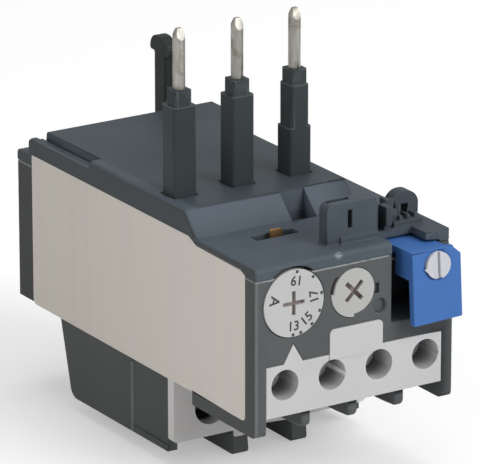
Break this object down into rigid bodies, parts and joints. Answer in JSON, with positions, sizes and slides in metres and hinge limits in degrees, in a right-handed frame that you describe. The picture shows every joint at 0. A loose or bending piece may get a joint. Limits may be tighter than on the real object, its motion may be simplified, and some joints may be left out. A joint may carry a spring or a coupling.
{
  "type": "thermal overload relay",
  "caption": "Plug-in thermal overload relay for a motor contactor, with line pins, current dial, test disc, reset button and screw terminals.",
  "frame": {"origin": "centre of the overall box in x and y, on the plane that the separator fins stand on", "axes": "+Z along the line pins towards the contactor, +Y from the operating face to the mounting back, +X to the operator's right"},
  "size_m": [0.044, 0.0914, 0.0861],
  "materials": {
    "housing_dark": "fine matt grain",
    "terminal_grey": "satin",
    "label_beige": "satin, bare",
    "dial_white": "satin",
    "reset_blue": "satin",
    "tinned_metal": "tinned",
    "zinc_steel": "zinc plated",
    "copper": "copper",
    "inner_plastic": "matt"
  },
  "bodies": {
    "relay": {"base_housing": "housing_dark", "top_cover": "housing_dark", "side_label": "label_beige", "mounting_hook": "housing_dark", "aux_terminal_block": "terminal_grey", "main_terminal_shroud": "terminal_grey", "main_terminal_screws": "zinc_steel", "main_pressure_plates": "zinc_steel", "aux_terminal_screws": "zinc_steel", "aux_pressure_plates": "zinc_steel", "closed_contact_bars": "copper", "open_contact_bars": "copper", "mechanism_frame": "inner_plastic", "reset_spring": "zinc_steel", "line_sleeve_1": "housing_dark", "line_sleeve_2": "housing_dark", "line_sleeve_3": "housing_dark", "line_pin_1": "tinned_metal", "line_pin_2": "tinned_metal", "line_pin_3": "tinned_metal", "busbar_1": "copper", "busbar_2": "copper", "busbar_3": "copper", "load_terminal_1": "copper", "load_terminal_2": "copper", "load_terminal_3": "copper", "bimetal_strip_1": "zinc_steel", "bimetal_strip_2": "zinc_steel", "bimetal_strip_3": "zinc_steel", "heater_winding_1": "zinc_steel", "heater_winding_2": "zinc_steel", "heater_winding_3": "zinc_steel"},
    "dial": {"current_dial": "dial_white", "adjusting_shaft": "inner_plastic"},
    "test": {"test_disc": "dial_white", "test_shaft": "inner_plastic"},
    "reset": {"reset_button": "reset_blue"},
    "selector": {"reset_selector": "dial_white"},
    "slider": {"trip_slider": "inner_plastic"},
    "strip": {"compensation_strip": "copper"},
    "contacts": {"contact_carrier": "inner_plastic", "closed_contact_bridge": "copper", "open_contact_bridge": "copper"}
  },
  "joints": [
    {"name": "dial_turn", "type": "hinge", "parent": "relay", "child": "dial", "pos_m": [-0.0137, -0.04205, 0.0409], "axis": [0, 1, 0], "range_deg": [0, 180]},
    {"name": "test_turn", "type": "hinge", "parent": "relay", "child": "test", "pos_m": [-0.0003, -0.04205, 0.0408], "axis": [0, 1, 0], "range_deg": [0, 45], "stiffness_Nm_per_rad": 0.004},
    {"name": "reset_press", "type": "slide", "parent": "relay", "child": "reset", "axis": [0, 1, 0], "range_m": [0, 0.0015], "stiffness_N_per_m": 400, "springref_m": -0.001, "deforming": ["reset_spring"]},
    {"name": "selector_turn", "type": "hinge", "parent": "reset", "child": "selector", "pos_m": [0.0166, -0.04487, 0.04362], "axis": [0, 0.9975, -0.071], "range_deg": [0, 90]},
    {"name": "slider_shift", "type": "slide", "parent": "relay", "child": "slider", "axis": [-1, 0, 0], "range_m": [0, 0.002]},
    {"name": "strip_swing", "type": "hinge", "parent": "relay", "child": "strip", "pos_m": [-0.00735, -0.02605, 0.0344], "axis": [0, 1, 0], "range_deg": [-13, 1]},
    {"name": "contacts_shift", "type": "slide", "parent": "relay", "child": "contacts", "axis": [0, 1, 0], "range_m": [0, 0.0012]}
  ],
  "couplings": [
    {"joint": "strip_swing", "follows": "slider_shift", "rad_per_m": -106.38},
    {"joint": "contacts_shift", "follows": "slider_shift", "ratio": 0.6}
  ]
}
